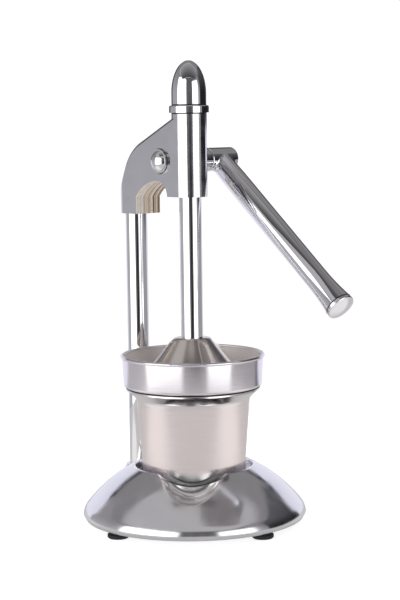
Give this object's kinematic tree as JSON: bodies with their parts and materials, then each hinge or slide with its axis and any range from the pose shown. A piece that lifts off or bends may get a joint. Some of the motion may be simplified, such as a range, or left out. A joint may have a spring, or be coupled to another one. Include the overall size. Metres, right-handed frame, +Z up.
{
  "type": "citrus press juicer",
  "caption": "Hand-lever citrus press: domed base, column and head with a rack and pinion that drives a ribbed presser into a strainer bowl on a cup.",
  "frame": {"origin": "on the press axis (axis of rod, cup and base), at the level of the feet's soles", "axes": "+Z up along the press axis; +Y from the press axis to the column; +X along the pinion shaft to the lever's hub; the lever hangs over -Y"},
  "size_m": [0.19, 0.2263, 0.39],
  "materials": {
    "chrome_casting": "polished chrome plate on die-cast zinc",
    "chrome_tube": "polished chrome plate on steel",
    "web_casting": "polished chrome plate on die-cast zinc, unpolished inside the arch",
    "brushed_cup": "fine vertical brushing",
    "satin_presser": "satin steel",
    "plated_steel": "bright zinc plate",
    "bronze_bush": "sintered bronze",
    "black_rubber": "matt moulded rubber"
  },
  "bodies": {
    "stand": {"base_casting": "chrome_casting", "foot_screws": "plated_steel", "column": "chrome_tube", "column_insert": "plated_steel", "column_washer": "plated_steel", "column_bolt": "plated_steel", "head_casting": "web_casting", "head_set_screw": "plated_steel", "top_cap": "chrome_tube", "lower_guide_bush": "bronze_bush", "upper_guide_bush": "bronze_bush", "left_shaft_bush": "bronze_bush", "right_shaft_bush": "bronze_bush", "shaft_housing": "chrome_tube", "foot_front": "black_rubber", "foot_right": "black_rubber", "foot_rear": "black_rubber", "foot_left": "black_rubber"},
    "lever": {"pinion_shaft": "plated_steel", "pinion_gear": "plated_steel", "pinion_pin": "plated_steel", "shaft_cap_nut": "chrome_tube", "lever_washer": "chrome_tube", "lever_arm": "chrome_tube", "lever_end_plug": "chrome_tube", "lever_set_screw": "plated_steel"},
    "plunger": {"rack_rod": "chrome_tube", "presser": "satin_presser", "presser_washer": "plated_steel", "presser_nut": "plated_steel"},
    "cup": {"juice_cup": "brushed_cup"},
    "strainer": {"strainer_bowl": "brushed_cup", "strainer_cone": "satin_presser"}
  },
  "joints": [
    {"name": "lever_swing", "type": "hinge", "parent": "stand", "child": "lever", "pos_m": [0, 0.0215, 0.3065], "axis": [-1, 0, 0], "range_deg": [0, 175]},
    {"name": "plunger_slide", "type": "slide", "parent": "stand", "child": "plunger", "axis": [0, 0, 1], "range_m": [0, 0.0401]},
    {"name": "cup_turn", "type": "hinge", "parent": "stand", "child": "cup", "pos_m": [0, 0, 0.0255], "axis": [0, 0, 1], "continuous": true},
    {"name": "strainer_turn", "type": "hinge", "parent": "cup", "child": "strainer", "pos_m": [0, 0, 0.1169], "axis": [0, 0, 1], "continuous": true}
  ],
  "couplings": [
    {"joint": "plunger_slide", "follows": "lever_swing", "m_per_rad": 0.013125}
  ]
}
